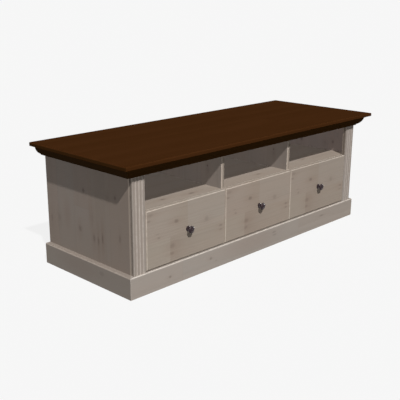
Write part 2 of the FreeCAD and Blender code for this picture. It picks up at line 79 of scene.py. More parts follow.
# %% A bench for shader nodes
class Joiner:
    """Adds nodes to one shader tree and joins them."""

    def __init__(self, tree):
        self.tree = tree

    def node(self, kind, **settings):
        item = self.tree.nodes.new(kind)
        for name, value in settings.items():
            setattr(item, name, value)
        return item

    def feed(self, socket, value):
        if isinstance(value, bpy.types.NodeSocket):
            self.tree.links.new(value, socket)
        else:
            socket.default_value = value

    def filled(self, item, values):
        for socket, value in zip(item.inputs, values):
            self.feed(socket, value)
        return item.outputs

    def math(self, operation, *values):
        return self.filled(self.node("ShaderNodeMath", operation=operation), values)[0]

    def vector(self, operation, *values):
        return self.filled(self.node("ShaderNodeVectorMath", operation=operation), values)["Vector"]

    def split(self, vector):
        return self.filled(self.node("ShaderNodeSeparateXYZ"), [vector])

    def join(self, x, y, z):
        return self.filled(self.node("ShaderNodeCombineXYZ"), [x, y, z])[0]


print("plain nodes can be joined")

# %% [markdown]
# Some steps come back in every finish: a soft ramp that makes a mask from a value, a distance, a
# noise that is stretched along the grain, and a tint that lays one colour over another by a mask.
# Colours are laid over each other in the order in which a painter would apply them, which is easier
# to follow than one long formula.

# %% Ramps, noise and tints
class Bench(Joiner):
    """A bench that also knows the steps of a finish."""

    def ramp(self, value, low, high, start=0.0, end=1.0):
        item = self.node("ShaderNodeMapRange", interpolation_type="SMOOTHSTEP")
        return self.filled(item, [value, low, high, start, end])[0]

    def reach(self, first, second):
        """Distance from two sides of a right angle."""
        squares = [self.math("POWER", side, 2.0) for side in (first, second)]
        return self.math("SQRT", self.math("ADD", *squares))

    def noise(self, vector, stretch, detail=2.0):
        item = self.node("ShaderNodeTexNoise")
        self.feed(item.inputs["Vector"], self.vector("MULTIPLY", vector, stretch))
        item.inputs["Scale"].default_value = 1.0
        item.inputs["Detail"].default_value = detail
        return item.outputs[0]

    def tint(self, share, first, second, mode="MIX"):
        item = self.node("ShaderNodeMix", data_type="RGBA", blend_type=mode)
        self.feed(item.inputs[0], share)
        sockets = [socket for socket in item.inputs if socket.type == "RGBA"]
        for socket, value in zip(sockets, (first, second)):
            self.feed(socket, value if isinstance(value, bpy.types.NodeSocket) else (*value, 1.0))
        return next(socket for socket in item.outputs if socket.type == "RGBA")

    def effect(self, tree, **values):
        """Places a shared effect and returns its outputs by name."""
        item = self.node("ShaderNodeGroup", node_tree=tree)
        for name, value in values.items():
            self.feed(item.inputs[name], value)
        return item.outputs


print("ramps, noise and tints ready")

# %% [markdown]
# Grain, knots, seams and wear are on many boards, so each of them is a node group: built once, with
# named sockets, and placed in each material with its own values. Copying the nodes into every
# material would give the same picture, but each change would have to be made twenty times.

# %% Shared effects
def new_effect(name, inputs, outputs):
    """An empty node group, its bench, the sockets that come in and those that go out."""
    tree = bpy.data.node_groups.new(name, "ShaderNodeTree")
    for label, kind in inputs.items():
        tree.interface.new_socket(label, in_out="INPUT", socket_type="NodeSocket" + kind)
    for label, kind in outputs.items():
        tree.interface.new_socket(label, in_out="OUTPUT", socket_type="NodeSocket" + kind)
    bench = Bench(tree)
    return tree, bench, bench.node("NodeGroupInput").outputs, bench.node("NodeGroupOutput").inputs


print("shared effects can be built")

# %% [markdown]
# Pine is made of yearly rings: soft pale early wood, then a harder, darker line. A board is a slice
# through those rings, so the lines on its face are found from the distance to the heart of the tree,
# which lies a little behind the board. Slow noise along the grain bends the lines into long arches. A
# stretched wave texture would be quicker, but its lines don't turn over the board's edge. The effect
# expects board coordinates in metres: X along the grain, Y across it, Z through the thickness.

# %% Grain of pine
RING_SPACING = 0.0055
HEART_DEPTH = 0.05
HEART_SPREAD = 0.03
STAVE_STEPS = (7.3, 0.0, 3.1)
RING_WANDER = 0.035
WANDER_STRETCH = (1.7, 7.0, 7.0)
FIBRE_STRETCH = (16.0, 700.0, 700.0)
CLOUD_STRETCH = (2.6, 15.0, 15.0)
LATE_WOOD_RISE = (0.25, 0.9)
LATE_WOOD_END = (1.0, 0.92)

pine_grain, bench, given, result = new_effect(
    "pine_grain",
    {"Board": "Vector", "Stave": "Float"},
    {"Rings": "Float", "Fibre": "Float", "Cloud": "Float"})
stave_shift = bench.join(*[bench.math("MULTIPLY", given["Stave"], step) for step in STAVE_STEPS])
board = bench.vector("ADD", given["Board"], stave_shift)
wander = bench.math("SUBTRACT", bench.noise(board, WANDER_STRETCH), 0.5)
sway = bench.math("MULTIPLY", wander, RING_WANDER)
across = bench.math("ADD", bench.split(board)["Y"], sway)
heart = bench.math("ADD", bench.math("MULTIPLY", given["Stave"], HEART_SPREAD), HEART_DEPTH)
depth = bench.math("ADD", bench.split(given["Board"])["Z"], heart)
ring = bench.math("FRACT", bench.math("DIVIDE", bench.reach(across, depth), RING_SPACING))
late_wood = bench.math("MULTIPLY", bench.ramp(ring, *LATE_WOOD_RISE), bench.ramp(ring, *LATE_WOOD_END))
bench.feed(result["Rings"], late_wood)
bench.feed(result["Fibre"], bench.noise(board, FIBRE_STRETCH, detail=3.0))
bench.feed(result["Cloud"], bench.noise(board, CLOUD_STRETCH))
print("effect", pine_grain.name, "with", len(pine_grain.nodes), "nodes")

# %% [markdown]
# A knot is the root of a branch. Its heart is dark, resin stains the wood along the grain, and the
# rings flow round it. One knot is one small group, and a board with five knots chains five of them:
# each passes on the masks so far, and squeezes the board coordinates so that the rings swerve. With
# no heart, the same group leaves a soft stain alone. Spots from a noise would be less work, but they
# never fall in the right places.

# %% Knots
RAGGED_STRETCH = (160.0, 260.0, 260.0)
RAGGED_SHARE = 0.6
STAIN_LENGTH = 1.8
HEART_FADE = (1.5, 0.3)
STAIN_FADE = (3.2, 0.4)
SWERVE_FADE = (3.0, 0.3)
SWERVE_SHARE = 0.6

pine_knot, bench, given, result = new_effect(
    "pine_knot",
    {"Board": "Vector", "Dark": "Float", "Resin": "Float", "Along": "Float", "Across": "Float",
     "Radius": "Float", "Stretch": "Float", "Heart": "Float", "Stain": "Float"},
    {"Board": "Vector", "Dark": "Float", "Resin": "Float"})
place = bench.split(given["Board"])
ragged = bench.math("SUBTRACT", bench.noise(given["Board"], RAGGED_STRETCH, detail=1.0), 0.5)
away = bench.math("DIVIDE", bench.math("SUBTRACT", place["X"], given["Along"]), given["Stretch"])
aside = bench.math("SUBTRACT", place["Y"], given["Across"])
close = bench.math("DIVIDE", bench.reach(away, aside), given["Radius"])
wide = bench.reach(bench.math("DIVIDE", away, STAIN_LENGTH), aside)
wide = bench.math("DIVIDE", wide, given["Radius"])
core = bench.math("ADD", close, bench.math("MULTIPLY", ragged, RAGGED_SHARE))
heart = bench.math("MULTIPLY", bench.ramp(core, *HEART_FADE), given["Heart"])
soaked = bench.ramp(bench.math("ADD", wide, ragged), *STAIN_FADE)
soaked = bench.math("MULTIPLY", soaked, given["Stain"])
swerve = bench.math("MULTIPLY", aside, bench.ramp(wide, *SWERVE_FADE))
squeeze = bench.join(0.0, bench.math("MULTIPLY", swerve, SWERVE_SHARE), 0.0)
bench.feed(result["Board"], bench.vector("SUBTRACT", given["Board"], squeeze))
bench.feed(result["Dark"], bench.math("MAXIMUM", given["Dark"], heart))
bench.feed(result["Resin"], bench.math("MAXIMUM", given["Resin"], soaked))
print("effect", pine_knot.name, "with", len(pine_knot.nodes), "nodes")

# %% [markdown]
# Panels of this kind are glued up from staves about a hand wide, and each stave came from another
# tree. The effect cuts a panel into rows and each row into lengths, and gives every stave a random
# number, so that its colour and its rings can differ, and a hair-thin seam where two staves meet. A
# brick texture does nearly the same, but it gives no coordinates across the single stave.

# %% Staves of a glued panel
SEAM_WIDTH = 0.001
ROW_STAGGER = 0.618

panel_staves, bench, given, result = new_effect(
    "panel_staves",
    {"Board": "Vector", "Width": "Float", "Length": "Float", "Seed": "Float"},
    {"Board": "Vector", "Stave": "Float", "Seam": "Float"})
place = bench.split(given["Board"])
row = bench.math("DIVIDE", place["Y"], given["Width"])
row_number = bench.math("FLOOR", row)
from_middle = bench.math("SUBTRACT", bench.math("FRACT", row), 0.5)
across = bench.math("MULTIPLY", from_middle, given["Width"])
row_seed = bench.math("ADD", row_number, given["Seed"])
stagger = bench.math("FRACT", bench.math("MULTIPLY", row_seed, ROW_STAGGER))
run = bench.math("ADD", bench.math("DIVIDE", place["X"], given["Length"]), stagger)
dice = bench.node("ShaderNodeTexWhiteNoise", noise_dimensions="3D")
bench.feed(dice.inputs["Vector"], bench.join(row_number, bench.math("FLOOR", run), given["Seed"]))
half_width = bench.math("MULTIPLY", given["Width"], 0.5)
edge_gap = bench.math("SUBTRACT", half_width, bench.math("ABSOLUTE", across))
end_gap = bench.math("MULTIPLY", bench.math("PINGPONG", run, 0.5), given["Length"])
seam = bench.ramp(bench.math("MINIMUM", edge_gap, end_gap), SEAM_WIDTH, 0.0)
bench.feed(result["Board"], bench.join(place["X"], across, place["Z"]))
bench.feed(result["Stave"], dice.outputs["Value"])
bench.feed(result["Seam"], seam)
print("effect", panel_staves.name, "with", len(panel_staves.nodes), "nodes")

# %% [markdown]
# Hands and dusters rub a wash off the corners first. A Bevel node looks at the surface a few
# millimetres around and returns a softened normal: where that differs from the true normal, there is
# an edge. A rounded edge is found too, because its own normal points along none of the three axes. A
# little noise breaks the line up, so that it doesn't look drawn. Faces that look left or right can
# keep a smaller share. On the washed boards the pale edge is partly wear and partly a painted
# highlight where the edges catch the key light, and the sideways faces keep less of it because they
# catch less of that light.

# %% Worn edges and painted highlights
BEVEL_SAMPLES = 6
SHARP_EDGE = (0.995, 0.86)
ROUND_EDGE = (0.995, 0.9)
PATCH_STRETCH = (60.0, 60.0, 60.0)
PATCH_RANGE = (0.25, 0.65, 0.45, 1.0)
LOOKS_SIDEWAYS = (0.97, 0.99)

edge_wear_and_highlight, bench, given, result = new_effect(
    "edge_wear_and_highlight", {"Reach": "Float", "Sides": "Float"}, {"Edge": "Float", "Round": "Float"})
true_normal = bench.node("ShaderNodeNewGeometry").outputs["Normal"]
softened = bench.node("ShaderNodeBevel", samples=BEVEL_SAMPLES)
bench.feed(softened.inputs["Radius"], given["Reach"])
turn = bench.node("ShaderNodeVectorMath", operation="DOT_PRODUCT")
bench.filled(turn, (softened.outputs[0], true_normal))
facing = bench.split(bench.vector("ABSOLUTE", true_normal))
squarest = bench.math("MAXIMUM", bench.math("MAXIMUM", facing["X"], facing["Y"]), facing["Z"])
where = bench.node("ShaderNodeTexCoord").outputs["Object"]
patchy = bench.ramp(bench.noise(where, PATCH_STRETCH, detail=3.0), *PATCH_RANGE)
kept = bench.math("MULTIPLY", patchy, bench.ramp(facing["X"], *LOOKS_SIDEWAYS, 1.0, given["Sides"]))
sharp = bench.ramp(turn.outputs["Value"], *SHARP_EDGE)
bench.feed(result["Edge"], bench.math("MULTIPLY", sharp, kept))
bench.feed(result["Round"], bench.math("MULTIPLY", bench.ramp(squarest, *ROUND_EDGE), kept))
print("effect", edge_wear_and_highlight.name, "with", len(edge_wear_and_highlight.nodes), "nodes")

# %% [markdown]
# Every finish starts and ends with the same steps: a material with one Principled shader, whose
# constant values are written on the shader itself, then its colour, its roughness and a bump for the
# raised grain. The coordinates come from the object, and every board sits at the frame's origin, so
# they are metres in the frame and travel with a drawer when it slides. Turning the axes about lets
# the same grain run along, up or across, where unwrapped meshes would need sixty layouts.

# %% Starting and closing a finish
GRAIN_AXES = {"along": ("X", "Z", "Y"), "flat": ("X", "Y", "Z"), "upright": ("Z", "X", "Y"),
              "side": ("Z", "Y", "X"), "deep": ("Y", "Z", "X")}
FRAME_ORIGIN = (0.0, 0.0, 0.0)
BUMP_STRENGTH = 0.6


def new_finish(name, specular, metallic=0.0):
    material = bpy.data.materials.new(name)
    material.use_nodes = True
    shader = material.node_tree.nodes["Principled BSDF"]
    shader.inputs["Specular IOR Level"].default_value = specular
    shader.inputs["Metallic"].default_value = metallic
    return material, Bench(material.node_tree), shader


def board_coordinates(bench, run, origin=FRAME_ORIGIN):
    """Metres along the grain, across it and through the board, from the given corner."""
    place = bench.node("ShaderNodeTexCoord").outputs["Object"]
    axes = bench.split(bench.vector("SUBTRACT", place, origin))
    return bench.join(*[axes[axis] for axis in GRAIN_AXES[run]])


def close_finish(bench, shader, colour, roughness, height, relief):
    """Feeds the shader with its colour and roughness, and raises the grain by the relief in metres."""
    bump = bench.node("ShaderNodeBump")
    bump.inputs["Strength"].default_value = BUMP_STRENGTH
    bump.inputs["Distance"].default_value = relief
    bench.feed(bump.inputs["Height"], height)
    look = {"Base Color": colour, "Roughness": roughness, "Normal": bump.outputs[0]}
    for socket, value in look.items():
        bench.feed(shader.inputs[socket], value)


def dress(material, *names):
    for name in names:
        nodes[name].data.materials.clear()
        nodes[name].data.materials.append(material)


print("runs of the grain:", ", ".join(GRAIN_AXES))

# %% [markdown]
# The pale finish is a thin grey-white wash over pine. The wash evens the colour out, so the rings
# show only faintly, and most where the wood is cloudy. Every stave takes it a little warmer or
# cooler. It could be one colour with some noise, but then the staves would look like paint on a flat
# plate.

# %% Colour of the whitewash
WASH_WARM = (0.302, 0.246, 0.202)
WASH_COOL = (0.294, 0.252, 0.212)
LATE_WOOD = (0.190, 0.145, 0.108)
BARE_FIBRE = (0.420, 0.370, 0.310)
STAVE_HUE = 0.45
CLOUD_HUE = 0.7
HUE_RANGE = (0.25, 0.9)
RINGS_SHOW = (0.3, 0.75, 0.05, 0.16)
FIBRES_SHOW = (0.3, 0.75, 0.0, 0.10)


def wash_colour(bench, stave, grain):
    """The wash on clear wood: warm or cool, with faint rings and bare fibres."""
    from_stave = bench.math("MULTIPLY", stave, STAVE_HUE)
    hue = bench.math("ADD", from_stave, bench.math("MULTIPLY", grain["Cloud"], CLOUD_HUE))
    colour = bench.tint(bench.ramp(hue, *HUE_RANGE), WASH_WARM, WASH_COOL)
    lines = bench.math("MULTIPLY", grain["Rings"], bench.ramp(grain["Cloud"], *RINGS_SHOW))
    colour = bench.tint(lines, colour, LATE_WOOD)
    return bench.tint(bench.ramp(grain["Fibre"], *FIBRES_SHOW), colour, BARE_FIBRE)


print("wash from", WASH_WARM, "to", WASH_COOL)

# %% [markdown]
# The boards that show most have knots in known places, so a finish takes a list of them. Each knot is
# one placed group, and the board coordinates and the masks run through all of them, like a thread
# through beads. One large group for all knots would have to be built anew for each board.

# %% Knots on a board
def chain_knots(bench, board, knots):
    """A knot is its place along and across the board, its radius, stretch, heart and stain."""
    dark, resin = 0.0, 0.0
    for along, across, radius, stretch, heart, stained in knots:
        passed = bench.effect(
            pine_knot, Board=board, Dark=dark, Resin=resin, Along=along, Across=across,
            Radius=radius, Stretch=stretch, Heart=heart, Stain=stained)
        board, dark, resin = passed["Board"], passed["Dark"], passed["Resin"]
    return board, dark, resin


print("knots can be chained")

# %% [markdown]
# Over the clear wash come the knots with their resin, the seams of the panel and the pale edges,
# partly rubbed through to a paler ground and partly painted highlight. Last, a board can have a tone
# of its own, a shade that is multiplied over the whole; several tones below are painted shade or
# painted light. A painted image for each board would do the same, but no other board could use it.

# %% Whitewashed pine
KNOT_HEART = (0.085, 0.062, 0.050)
KNOT_RESIN = (0.235, 0.168, 0.130)
RESIN_SHARE = 0.5
SEAM_LINE = (0.150, 0.115, 0.090)
SEAM_SHARE = 0.25
WORN_EDGE_AND_HIGHLIGHT = (0.560, 0.490, 0.420)
WASH_ROUGHNESS = (0.2, 0.8, 0.55, 0.70)
FIBRE_RISE = 0.5
RING_SINK = 0.35
PANEL_STAVE = (0.11, 0.75)


def wash(name, run, origin=FRAME_ORIGIN, knots=(), stave=PANEL_STAVE, seed=1.0, tone=None, rub_and_highlight_share=0.8):
    material, bench, shader = new_finish(name, specular=0.1)
    clear_board = board_coordinates(bench, run, origin)
    board, dark, resin = chain_knots(bench, clear_board, knots)
    glued = bench.effect(panel_staves, Board=board, Width=stave[0], Length=stave[1], Seed=seed)
    grain = bench.effect(pine_grain, Board=glued["Board"], Stave=glued["Stave"])
    colour = wash_colour(bench, glued["Stave"], grain)
    if knots:
        colour = bench.tint(bench.math("MULTIPLY", resin, RESIN_SHARE), colour, KNOT_RESIN)
        colour = bench.tint(dark, colour, KNOT_HEART)
    colour = bench.tint(bench.math("MULTIPLY", glued["Seam"], SEAM_SHARE), colour, SEAM_LINE)
    # The pale edges are partly wear and partly painted highlight; faces that look left or right keep a
    # tenth of it.
    wear_and_highlight = bench.effect(edge_wear_and_highlight, Reach=0.0025, Sides=0.1)
    rub_and_highlight_mask = bench.math("MAXIMUM", wear_and_highlight["Edge"], wear_and_highlight["Round"])
    colour = bench.tint(bench.math("MULTIPLY", rub_and_highlight_mask, rub_and_highlight_share), colour, WORN_EDGE_AND_HIGHLIGHT)
    if tone:
        colour = bench.tint(1.0, colour, tone(bench, clear_board), "MULTIPLY")
    roughness = bench.ramp(grain["Fibre"], *WASH_ROUGHNESS)
    raised = bench.math("MULTIPLY", grain["Fibre"], FIBRE_RISE)
    raised = bench.math("SUBTRACT", raised, bench.math("MULTIPLY", grain["Rings"], RING_SINK))
    close_finish(bench, shader, colour, roughness, raised, relief=0.0006)
    return material


print("whitewash ready")

# %% [markdown]
# The three drawer fronts show most. Each is glued up from four staves in two rows, joined end to end
# at different places, and the wood is browner beside the joints. The knots repeat from front to
# front, as they do where boards are matched, and their places were measured from each front's own
# lower left corner. A random pattern would be shorter to write, but the eye finds these knots at
# once.

# %% Drawer fronts
FRONT_KNOTS = (
    (0.152, 0.160, 0.0074, 1.5, 0.38, 0.5), (0.318, 0.131, 0.0100, 1.2, 0.20, 0.3),
    (0.402, 0.084, 0.0050, 2.2, 0.30, 0.4), (0.402, 0.067, 0.0045, 2.2, 0.22, 0.4),
    (0.061, 0.114, 0.0050, 1.5, 0.22, 0.2), (0.055, 0.130, 0.0025, 4.0, 0.18, 0.1),
    (0.130, 0.066, 0.0095, 1.4, 0.22, 0.5), (0.128, 0.036, 0.0065, 1.7, 0.21, 0.4),
    (0.020, 0.211, 0.0065, 2.2, 0.17, 0.4), (0.012, 0.189, 0.0045, 2.0, 0.26, 0.3))
FRONT_STAVE = (0.126, 2.0)
FRONT_LEVELS = (1.006, 0.950, 0.913)
FRONT_SEEDS = (1.0, 0.96, 0.93)
FRONT_RUB_AND_HIGHLIGHT = 0.62
ROW_SPLIT = 0.103
LOWER_JOINT, LOWER_FADES = 0.119, 0.30
UPPER_JOINT, UPPER_STARTS = 0.213, 0.06
FRONT_TONES = {"low_left": (1.02, 1.03, 1.02), "low_joint": (0.93, 0.905, 0.885),
               "low_right": (0.985, 0.975, 0.96), "high_left": (1.02, 1.01, 1.01),
               "high_joint": (0.97, 0.95, 0.93), "high_right": (1.01, 1.015, 1.02)}


def front_staves(level):
    """The four staves of a drawer front, browner beside the joints."""
    shades = {stave: [level * value for value in shade] for stave, shade in FRONT_TONES.items()}

    def tone(bench, board):
        place = bench.split(board)
        past_lower = bench.math("GREATER_THAN", place["X"], LOWER_JOINT)
        past_upper = bench.math("GREATER_THAN", place["X"], UPPER_JOINT)
        from_joint = bench.ramp(place["X"], LOWER_JOINT, LOWER_FADES)
        lower = bench.tint(from_joint, shades["low_joint"], shades["low_right"])
        lower = bench.tint(past_lower, shades["low_left"], lower)
        to_joint = bench.ramp(place["X"], UPPER_STARTS, UPPER_JOINT)
        upper = bench.tint(to_joint, shades["high_left"], shades["high_joint"])
        upper = bench.tint(past_upper, upper, shades["high_right"])
        return bench.tint(bench.math("GREATER_THAN", place["Y"], ROW_SPLIT), lower, upper)
    return tone


for drawer, level, seed in zip(DRAWERS, FRONT_LEVELS, FRONT_SEEDS):
    front = f"{drawer}_drawer_front"
    finish = wash(f"wash_front_{drawer}", "along", origin=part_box(front)[0], knots=FRONT_KNOTS,
                  stave=FRONT_STAVE, seed=seed, tone=front_staves(level), rub_and_highlight_share=FRONT_RUB_AND_HIGHLIGHT)
    dress(finish, front)
print("drawer fronts with", len(FRONT_KNOTS), "knots each")

# %% [markdown]
# The two sides are upright staves. Their wash is darker and greyer than the fronts', by more than the
# light alone would make them: that difference is painted shade. Inside the open compartments it is
# paler than outside and paler deeper in, which is painted light, with painted shade near the front. In
# front of a seam the wood is browner, and behind it only towards the foot. The first millimetres
# behind the post carry a painted highlight, where the two boards meet. One finish serves both sides:
# it tells inside from outside by the distance from the middle.

# %% Sides
SIDE_KNOTS = (
    (0.197, 0.078, 0.0095, 1.3, 0.34, 0.4), (0.178, -0.010, 0.0075, 2.0, 0.34, 0.5),
    (0.172, -0.036, 0.0050, 3.5, 0.34, 0.7), (0.188, -0.062, 0.0050, 4.0, 0.40, 0.8),
    (0.213, -0.165, 0.0060, 2.5, 0.28, 0.3), (0.213, 0.215, 0.0090, 1.5, 0.15, 0.3),
    (0.198, 0.268, 0.0050, 3.0, 0.22, 0.3), (0.242, 0.160, 0.0120, 1.3, 0.00, 0.5),
    (0.260, 0.003, 0.0100, 1.5, 0.05, 0.4), (0.357, 0.047, 0.0075, 1.3, 0.50, 0.2),
    (0.366, -0.142, 0.0060, 1.3, 0.45, 0.3), (0.357, -0.098, 0.0080, 1.0, 0.10, 0.4))
SIDE_MIDDLE = sum(corner[0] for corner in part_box("side_panel_right")) / 2.0
SIDE_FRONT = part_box("side_panel_left")[0][1]
SIDE_SPLIT = 0.018
BROWN_FOOT = (0.28, 0.16)
# Outside, both staves are darkened well below the fronts: painted shade.
SIDE_PALE_SHADED = (0.585, 0.577, 0.592)
SIDE_BROWN_SHADED = (0.569, 0.555, 0.557)
JOINT_WIDTH = (0.0064, 0.0042)
# The pale band just behind the post is a painted highlight.
JOINT_HIGHLIGHT = (0.900, 0.890, 0.890)
# Inside, the wash is painted paler, darker near the front and paler deeper in: painted light and
# painted shade.
SIDE_DEPTH = (-0.15, -0.05)
SIDE_INSIDE_PAINTED_LIGHT = ((0.640, 0.630, 0.690), (0.692, 0.682, 0.752))


def side_staves_and_shading(bench, board):
    """Outside a browner stave in front of a paler one, both in painted shade, with a painted highlight
    at the joint; inside a paler wash of painted light.
    """
    place = bench.split(board)
    ahead = bench.math("LESS_THAN", place["Y"], SIDE_SPLIT)
    brown = bench.math("MAXIMUM", ahead, bench.ramp(place["X"], *BROWN_FOOT))
    outside = bench.tint(brown, SIDE_PALE_SHADED, SIDE_BROWN_SHADED)
    joint = bench.ramp(place["Y"], *[SIDE_FRONT + width for width in JOINT_WIDTH])
    outside = bench.tint(joint, outside, JOINT_HIGHLIGHT)
    inside = bench.math("LESS_THAN", bench.math("ABSOLUTE", place["Z"]), SIDE_MIDDLE)
    deep = bench.tint(bench.ramp(place["Y"], *SIDE_DEPTH), *SIDE_INSIDE_PAINTED_LIGHT)
    return bench.tint(inside, outside, deep)


finish = wash("wash_side", "side", knots=SIDE_KNOTS, tone=side_staves_and_shading)
dress(finish, "side_panel_left", "side_panel_right")
print("sides with", len(SIDE_KNOTS), "knots")

# %% [markdown]
# The corner posts are fluted boards. In front they are as pale as the drawers, and the right one is a
# shade darker. Their narrow outer side is darkened like the side panels, as painted shade, the flute
# in it is darker still, as painted shade in the hollow, and the edge behind it carries a painted
# highlight. A band under the cornice is darkened as the cornice's painted shadow. All of that follows
# from two distances, from the post's front and from its top, so no image has to be painted.

# %% Corner posts
POST_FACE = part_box("corner_post_left")[0][1]
POST_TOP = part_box("corner_post_left")[1][2]
POST_FRONTS = {"left": (0.962, 0.985, 1.028), "right": (0.86, 0.885, 0.938)}
# Layers behind the face: painted shade on the side, deeper painted shade in the hollow, a painted
# highlight on the edge.
POST_LAYERS = (((0.0045, 0.0065), (0.574, 0.566, 0.566)),
               ((0.0080, 0.0095), (0.415, 0.405, 0.400)),
               ((0.0162, 0.0178), JOINT_HIGHLIGHT))
# The band under the cornice is the cornice's painted shadow.
CORNICE_SHADOW_BAND = (0.0225, 0.0185)
POST_HEAD_SHADOW = (0.86, 0.86, 0.86)
POST_RUB_AND_HIGHLIGHT = 0.5


def post_shades(front):
    """From the front backwards: the pale face, then painted shade on the side and in the hollow, and a
    painted highlight on the edge.
    """
    def tone(bench, board):
        place = bench.split(board)
        depth = bench.math("SUBTRACT", place["Z"], POST_FACE)
        shade = front
        for starts, layer in POST_LAYERS:
            shade = bench.tint(bench.ramp(depth, *starts), shade, layer)
        cornice_shadow = bench.ramp(place["X"], *[POST_TOP - below for below in CORNICE_SHADOW_BAND])
        return bench.tint(cornice_shadow, shade, POST_HEAD_SHADOW, "MULTIPLY")
    return tone


for hand, front in POST_FRONTS.items():
    finish = wash(f"wash_post_{hand}", "upright", tone=post_shades(front), rub_and_highlight_share=POST_RUB_AND_HIGHLIGHT)
    dress(finish, f"corner_post_{hand}")
print("posts in", len(POST_LAYERS) + 1, "shades")

# %% [markdown]
# Single boards of the carcass differ by a tone: one is paler or darker all over, another only on its
# left and right faces, which is painted shade where those faces get less light. A tone is a small
# function that puts its nodes on the bench of the finish, so that every board keeps the same recipe.
# Which way a face looks is read from its normal, not from the camera, so the shade stays where it is
# in every view.

# %% Tones of single boards
SIDEWAYS = (0.96, 0.99)


def looks_sideways(bench):
    """1 on the left and right faces of a board, 0 on its other faces."""
    normal = bench.node("ShaderNodeNewGeometry").outputs["Normal"]
    return bench.ramp(bench.split(bench.vector("ABSOLUTE", normal))["X"], *SIDEWAYS)


def even(colour):
    """A board that is a little paler or darker than the others all over."""
    return lambda bench, board: colour


def two_sided(sides, others=(1.0, 1.0, 1.0)):
    """A board whose left and right faces have another shade than the rest of it."""
    return lambda bench, board: bench.tint(looks_sideways(bench), others, sides)


def graded(axis, reach, first, second):
    """A board that goes from one shade to another along an axis of the board."""
    return lambda bench, board: bench.tint(bench.ramp(bench.split(board)[axis], *reach), first, second)


print("tones ready")

# %% [markdown]
# The shelf is the floor of the open compartments, with its grain lengthwise. It is painted a little
# darker in front and paler further in, as painted shade and painted light for the compartments. The
# plinth is a skirting of three boards: the front one is palest at its left end, and the two at the
# sides are darkened like the sides above them, as painted shade. Each has the few knots that can be
# seen.

# %% Shelf and plinth
SHELF_KNOTS = ((-0.495, -0.169, 0.0060, 1.8, 0.50, 0.5), (-0.355, -0.185, 0.0065, 2.2, 0.50, 0.6),
               (0.062, -0.180, 0.0055, 2.0, 0.42, 0.5), (0.430, -0.150, 0.0055, 2.0, 0.40, 0.5))
PLINTH_KNOTS = (
    (-0.531, 0.036, 0.0050, 1.3, 0.45, 0.3), (-0.304, 0.048, 0.0055, 1.3, 0.36, 0.3),
    (-0.272, 0.031, 0.0035, 1.5, 0.20, 0.2), (0.105, 0.061, 0.0035, 4.0, 0.35, 0.3),
    (0.110, 0.048, 0.0035, 4.0, 0.30, 0.3), (0.469, 0.055, 0.0040, 4.5, 0.35, 0.3),
    (-0.040, 0.050, 0.0200, 2.5, 0.00, 0.6))
PLINTH_SIDE_KNOTS = ((-0.077, 0.058, 0.0100, 1.3, 0.20, 0.2), (0.060, 0.050, 0.0200, 2.0, 0.00, 0.5))
PLINTH_SIDE_RUB_AND_HIGHLIGHT = 0.3

# The shelf is painted darker in front and paler deeper in: painted shade and painted light for the
# compartments.
shelf_shades = graded("Y", (-0.19, -0.06), (0.915, 0.920, 0.920), (0.960, 0.975, 1.015))
plinth_shades = graded("X", (-0.75, 0.30), (1.045, 1.090, 1.150), (0.945, 0.980, 1.025))
# The plinth's left and right faces are painted shade like the sides, and its other faces are a little
# darker.
plinth_sides_painted_shade = two_sided((0.580, 0.586, 0.598), (0.83, 0.83, 0.85))
dress(wash("wash_shelf", "flat", knots=SHELF_KNOTS, tone=shelf_shades), "shelf")
dress(wash("wash_plinth_front", "along", knots=PLINTH_KNOTS, tone=plinth_shades), "plinth_front")
dress(wash("wash_plinth_side", "deep", knots=PLINTH_SIDE_KNOTS, tone=plinth_sides_painted_shade,
           rub_and_highlight_share=PLINTH_SIDE_RUB_AND_HIGHLIGHT), "plinth_left", "plinth_right")
print("shelf with", len(SHELF_KNOTS), "knots, plinth with", len(PLINTH_KNOTS + PLINTH_SIDE_KNOTS))

# %% [markdown]
# The dividers stand between the compartments, and the partitions between the drawers below them. Their
# sides are darkened as painted shade, a little less deeper in as painted light, and their narrow front
# edge goes from a painted highlight along its left corner to painted shade along its right one. The
# boards that hardly show take the plain wash with the grain turned their way.

# %% Dividers and hidden boards
DIVIDER_KNOTS = ((0.4045, -0.148, 0.0036, 1.3, 0.60, 0.3), (0.386, -0.150, 0.0060, 1.5, 0.10, 0.4))
DIVIDER_FACES = [corner[0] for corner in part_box("divider_right")]
DIVIDER_MIDDLE = sum(DIVIDER_FACES) / 2.0
DIVIDER_HALF = (DIVIDER_FACES[1] - DIVIDER_FACES[0]) / 2.0
# The front edge's pale left corner is a painted highlight and its darker right corner painted shade;
# the darker sides are painted shade, paler deeper in as painted light.
DIVIDER_HIGHLIGHT = (1.37, 1.38, 1.39)
DIVIDER_SHADED = (0.70, 0.70, 0.69)
DIVIDER_DEPTH = (-0.15, -0.10)
DIVIDER_SIDE_SHADING = ((0.606, 0.622, 0.656), (0.662, 0.668, 0.708))


def divider_shades(bench, board):
    """Sides in painted shade, paler deeper in as painted light, and a front edge from a painted
    highlight at its left corner to painted shade at its right one.
    """
    place = bench.split(board)
    sides = bench.tint(bench.ramp(place["Y"], *DIVIDER_DEPTH), *DIVIDER_SIDE_SHADING)
    middle = bench.math("MULTIPLY", bench.math("SIGN", place["Z"]), DIVIDER_MIDDLE)
    from_middle = bench.math("SUBTRACT", place["Z"], middle)
    to_the_right = bench.ramp(from_middle, -DIVIDER_HALF, DIVIDER_HALF)
    front = bench.tint(to_the_right, DIVIDER_HIGHLIGHT, DIVIDER_SHADED)
    return bench.tint(looks_sideways(bench), front, sides)


dress(wash("wash_divider", "side", knots=DIVIDER_KNOTS, tone=divider_shades),
      "divider_left", "divider_right", "partition_left", "partition_right")
dress(wash("wash_level", "flat"), "sub_top", "floor_panel")
dress(wash("wash_rail", "along"), "top_rail")
print("whitewashed boards done")

